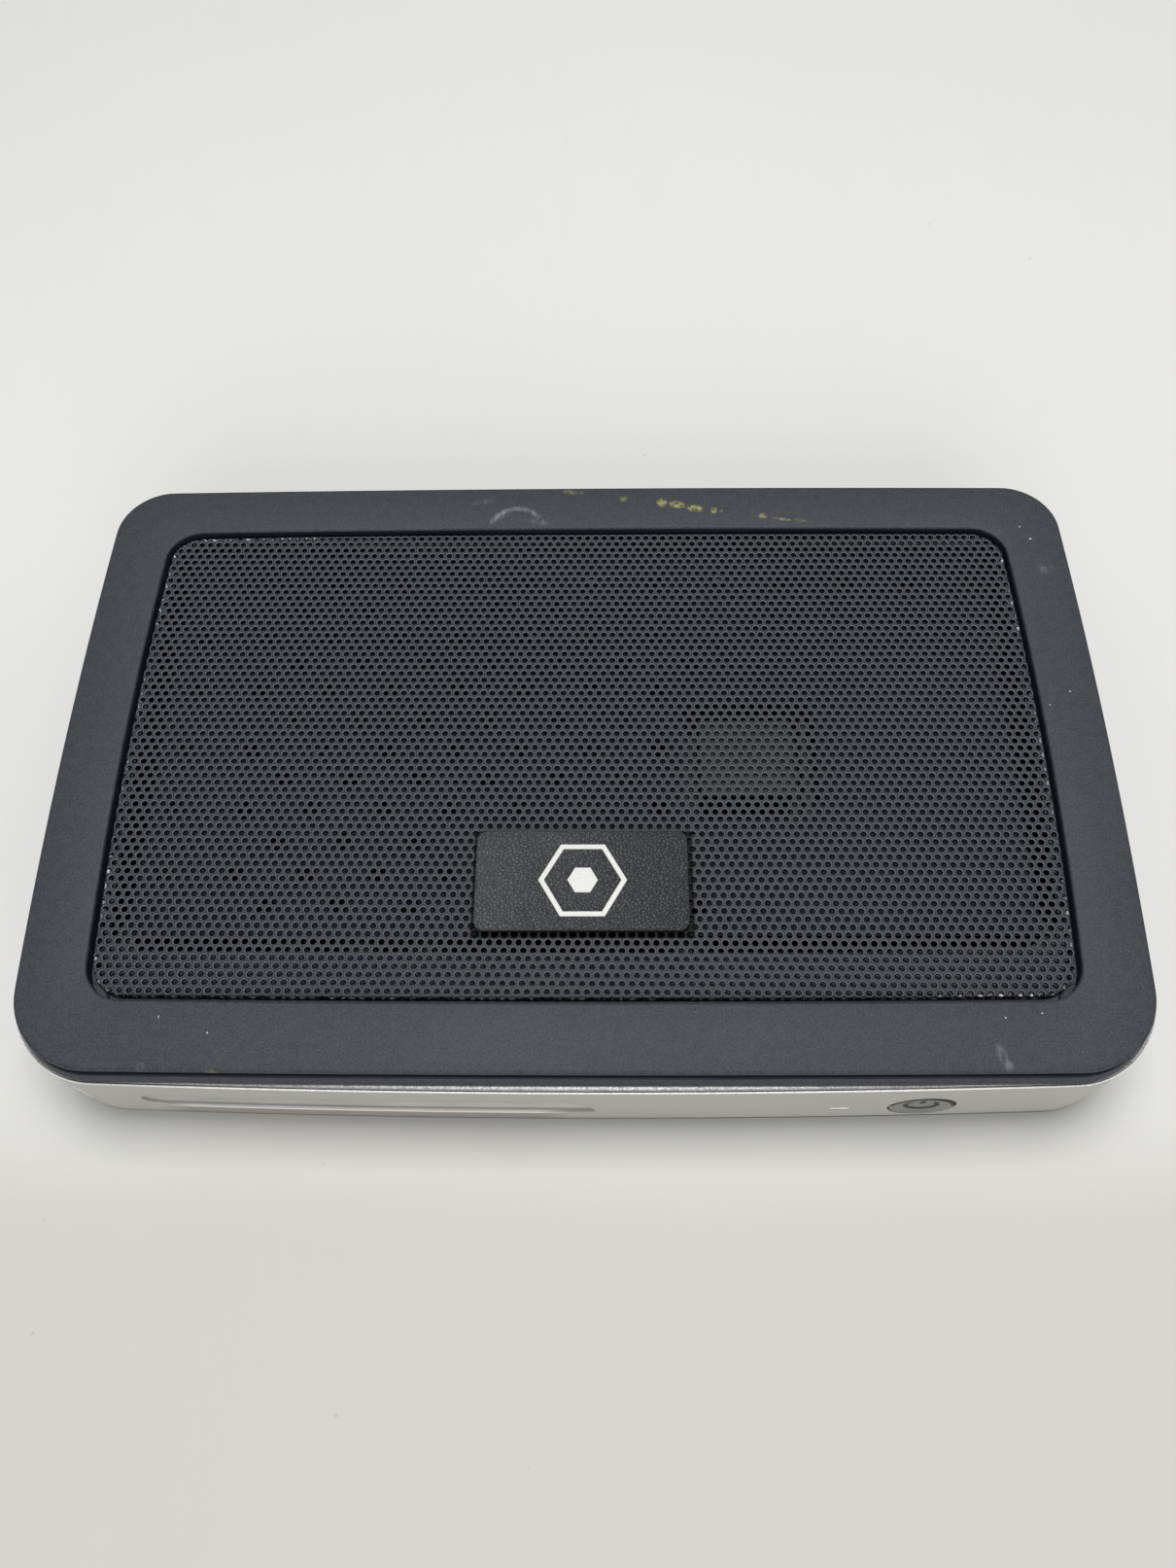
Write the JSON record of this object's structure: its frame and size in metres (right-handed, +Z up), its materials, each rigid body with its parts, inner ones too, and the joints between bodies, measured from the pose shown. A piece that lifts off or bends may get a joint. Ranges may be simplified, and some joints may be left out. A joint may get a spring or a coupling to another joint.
{
  "type": "desktop thin client terminal",
  "caption": "Flat desktop network terminal: silver shell, black lid with a perforated panel and badge plate, front power button and port recess, rear sockets, on rubber feet.",
  "frame": {"origin": "middle of the footprint, on the surface the feet stand on", "axes": "+X to the right seen from the front, along the width; +Y from the front face with the power button to the back face with the sockets; +Z up"},
  "size_m": [0.1784, 0.113, 0.024],
  "materials": {
    "shell_silver": "satin silver paint on plastic",
    "trim_silver": "rough bright metallised edge",
    "lid_black": "fine satin grain",
    "grille_paint": "satin dark grey paint",
    "badge_black": "leather-like grain",
    "badge_silver": "matt foil",
    "shield_dark": "dark coated steel",
    "screw_zinc": "zinc plate",
    "cover_black": "fine texture paint",
    "foot_rubber": "matt",
    "screw_black": "black oxide",
    "brass": "turned",
    "board_green": "solder mask",
    "chip_black": "moulded",
    "pad_grey": "soft",
    "sink_dark": "dark anodised",
    "inductor_grey": "pressed powder",
    "can_aluminium": "drawn can",
    "socket_black": "moulded",
    "cell_steel": "nickel plate",
    "socket_steel": "nickel plate",
    "contact_gold": "gold plate",
    "socket_white": "moulded",
    "button_grey": "satin",
    "plunger_white": "moulded",
    "lamp": "clear resin",
    "clear": "clear moulding",
    "label_white": "blank label"
  },
  "bodies": {
    "case": {"shell": "shell_silver", "trim_ring": "trim_silver", "lid_frame": "lid_black", "grille": "grille_paint", "badge_plate": "badge_black", "badge_mark": "badge_silver", "shield": "shield_dark", "shield_screws": "screw_zinc", "board_screws": "screw_zinc", "bottom_cover": "cover_black", "feet": "foot_rubber", "case_screws": "screw_black", "standoffs": "brass", "main_board": "board_green", "processor": "chip_black", "thermal_pad": "pad_grey", "heat_sink": "sink_dark", "memory_chips": "chip_black", "flash_module": "chip_black", "lan_magnetics": "chip_black", "inductors": "inductor_grey", "capacitors": "can_aluminium", "cell_holder": "socket_black", "coin_cell": "cell_steel", "usb_shells": "socket_steel", "usb_tongues": "socket_black", "audio_jacks": "socket_black", "lan_jack": "socket_steel", "lan_contacts": "contact_gold", "video_shell": "socket_steel", "video_insert": "socket_white", "jack_posts": "socket_steel", "dc_jack": "socket_black", "dc_pin": "socket_steel", "lock_bracket": "socket_steel", "switch_body": "socket_black", "power_led": "lamp", "light_pipe": "clear", "rating_label": "label_white"},
    "button": {"power_button": "button_grey"},
    "plunger": {"switch_plunger": "plunger_white"}
  },
  "joints": [
    {"name": "button_press", "type": "slide", "parent": "case", "child": "button", "axis": [0, 1, 0], "range_m": [0, 0.0005], "stiffness_N_per_m": 2000, "springref_m": -0.0001},
    {"name": "switch_press", "type": "slide", "parent": "case", "child": "plunger", "axis": [0, 1, 0], "range_m": [0, 0.0005]}
  ],
  "couplings": [
    {"joint": "switch_press", "follows": "button_press", "ratio": 1}
  ]
}
